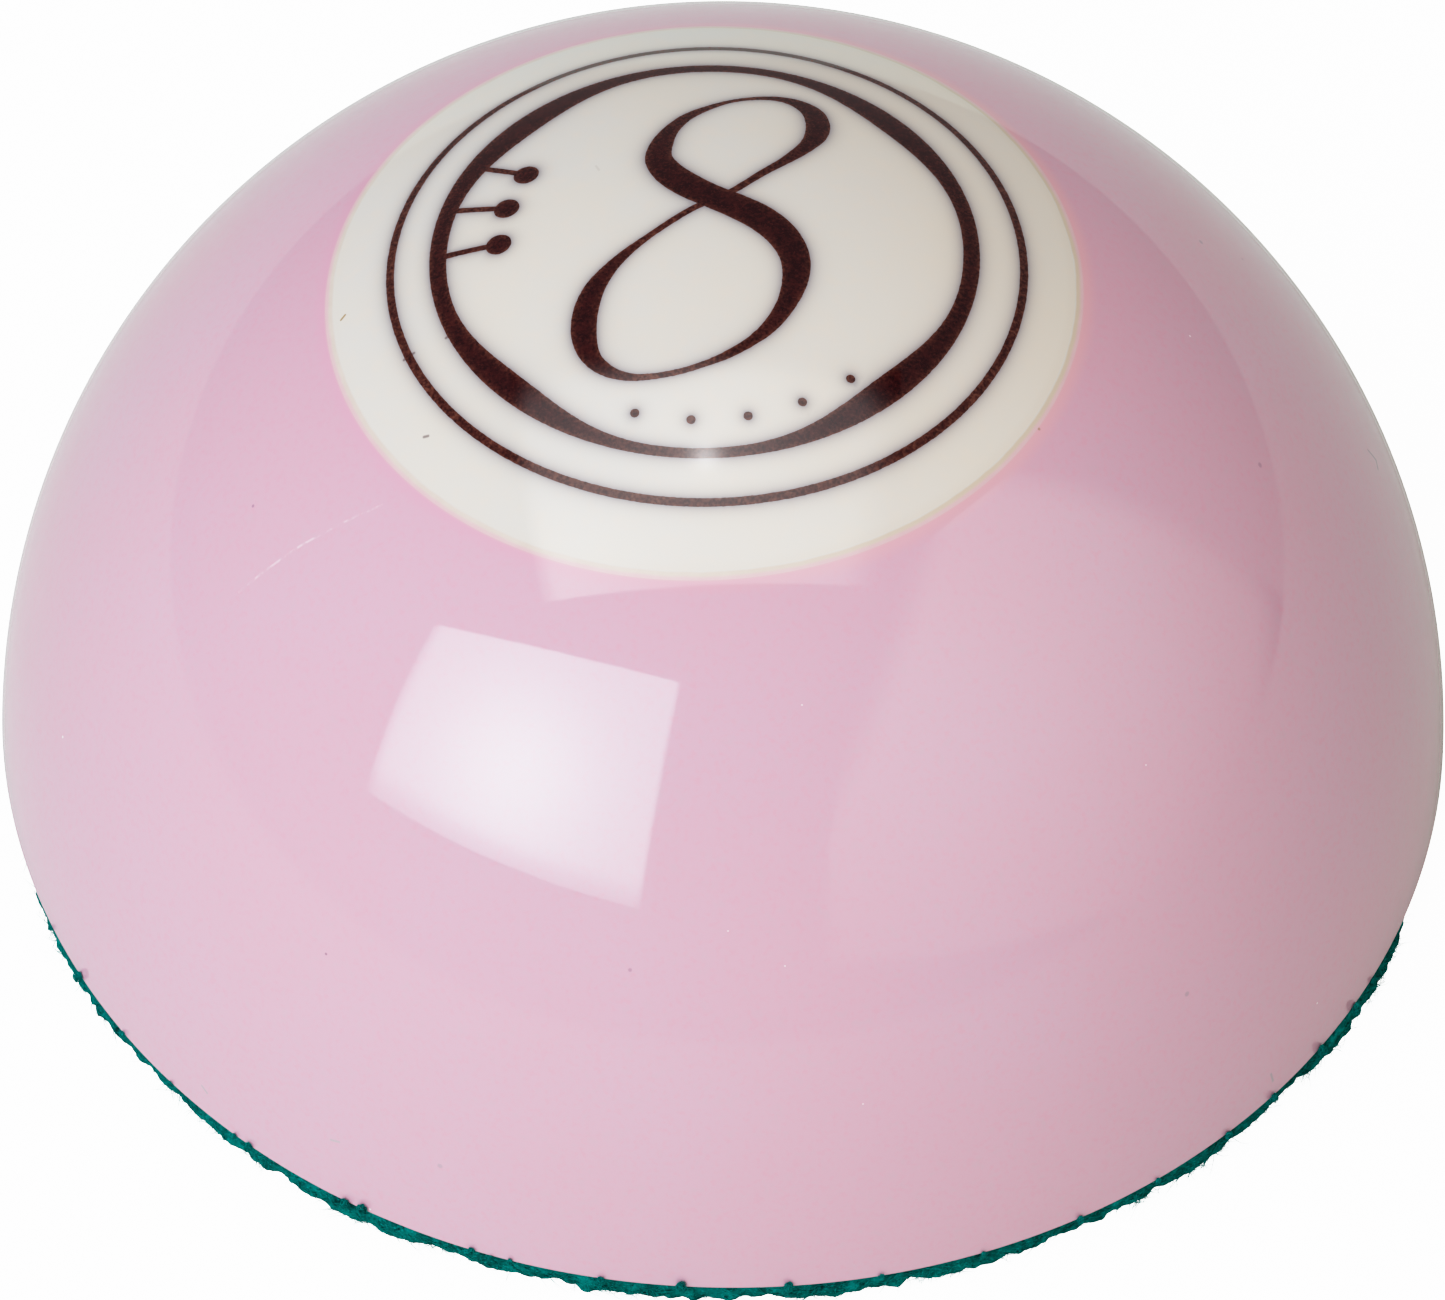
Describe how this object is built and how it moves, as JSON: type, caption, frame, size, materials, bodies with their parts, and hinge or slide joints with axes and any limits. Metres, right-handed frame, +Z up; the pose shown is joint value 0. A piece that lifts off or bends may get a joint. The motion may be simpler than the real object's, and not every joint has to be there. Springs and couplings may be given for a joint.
{
  "type": "half pool ball paperweight",
  "caption": "Numbered pool ball cut in half as a desk paperweight: glossy cast resin dome, inlaid number plug with rings and numeral, and a felt pad glued to the flat base.",
  "frame": {"origin": "centre of the felt pad's underside", "axes": "+Z up through the crown of the dome; -Y towards the reader, so the numeral reads upright from -Y; +X to the reader's right"},
  "size_m": [0.057, 0.0569, 0.028],
  "materials": {
    "pink_resin": "polished cast phenolic resin, slightly translucent, fine specks and hairline scratches",
    "cream_resin": "polished cast resin, translucent ivory",
    "amber_bond": "clear amber bonding resin, polished flush",
    "brown_inlay": "dark brown filled inlay, polished flush, faintly mottled",
    "clear_glue": "thin dried contact glue film",
    "green_felt": "pressed wool felt, scissor-cut edge with loose fibres"
  },
  "bodies": {
    "root": {"half_ball_body": "pink_resin", "plug_bond": "amber_bond", "number_plug": "cream_resin", "outer_ring_inlay": "brown_inlay", "ornament_ring_inlay": "brown_inlay", "numeral_inlay": "brown_inlay", "dot_inlay_1": "brown_inlay", "dot_inlay_2": "brown_inlay", "dot_inlay_3": "brown_inlay", "dot_inlay_4": "brown_inlay", "dot_inlay_5": "brown_inlay", "felt_adhesive": "clear_glue", "felt_pad": "green_felt"}
  },
  "joints": []
}
